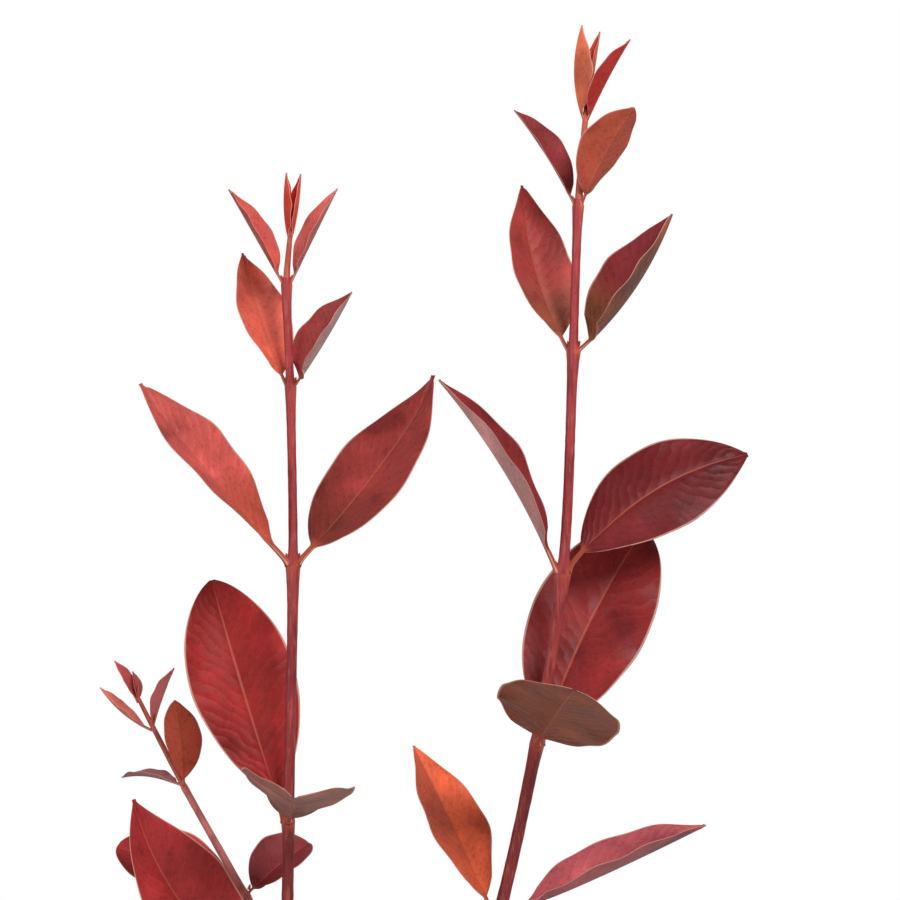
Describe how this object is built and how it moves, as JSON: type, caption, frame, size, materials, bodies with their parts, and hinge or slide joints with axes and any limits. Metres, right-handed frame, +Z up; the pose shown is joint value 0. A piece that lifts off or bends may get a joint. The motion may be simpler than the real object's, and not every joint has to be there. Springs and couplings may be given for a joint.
{
  "type": "young lilly pilly shrub",
  "caption": "Young flowering shrub with upright stems on a flared woody foot, a small side shoot, and glossy pointed leaves in opposite pairs up to small new tip leaves",
  "frame": {"origin": "centre of the flat cut under the woody foot, at ground level", "axes": "+Z up along the plant, +X to its right as seen from its front, +Y to its back"},
  "size_m": [0.187, 0.1079, 0.3846],
  "materials": {
    "bark": "matt bark",
    "stem": "satin green wood",
    "grown_leaf": "glossy leaf",
    "bronze_leaf": "satin leaf",
    "new_leaf": "satin young leaf"
  },
  "bodies": {
    "root": {"short_stem": "stem", "short_stem_leaf_1_back": "bronze_leaf", "short_stem_leaf_1_front": "bronze_leaf", "short_stem_leaf_2_back": "bronze_leaf", "short_stem_leaf_2_front": "bronze_leaf", "short_stem_leaf_3_left": "grown_leaf", "short_stem_leaf_3_right": "bronze_leaf", "short_stem_leaf_4_back": "grown_leaf", "short_stem_leaf_4_front": "bronze_leaf", "short_stem_leaf_5_left": "grown_leaf", "short_stem_leaf_5_right": "grown_leaf", "short_stem_leaf_6_left": "grown_leaf", "short_stem_leaf_6_right": "grown_leaf", "short_stem_leaf_7_left": "new_leaf", "short_stem_leaf_7_right": "new_leaf", "short_stem_tip_foliage": "new_leaf", "side_shoot": "stem", "side_shoot_leaf_1_left": "grown_leaf", "side_shoot_leaf_1_right": "grown_leaf", "side_shoot_leaf_2_left": "grown_leaf", "side_shoot_leaf_2_right": "grown_leaf", "side_shoot_tip_foliage": "new_leaf", "tall_stem": "stem", "tall_stem_leaf_1_back": "bronze_leaf", "tall_stem_leaf_1_front": "bronze_leaf", "tall_stem_leaf_2_left": "bronze_leaf", "tall_stem_leaf_2_right": "bronze_leaf", "tall_stem_leaf_3_left": "bronze_leaf", "tall_stem_leaf_3_right": "grown_leaf", "tall_stem_leaf_4_back": "grown_leaf", "tall_stem_leaf_4_front": "bronze_leaf", "tall_stem_leaf_5_left": "grown_leaf", "tall_stem_leaf_5_right": "grown_leaf", "tall_stem_leaf_6_left": "grown_leaf", "tall_stem_leaf_6_right": "grown_leaf", "tall_stem_leaf_7_left": "new_leaf", "tall_stem_leaf_7_right": "new_leaf", "tall_stem_tip_foliage": "new_leaf", "trunk": "bark"}
  },
  "joints": []
}
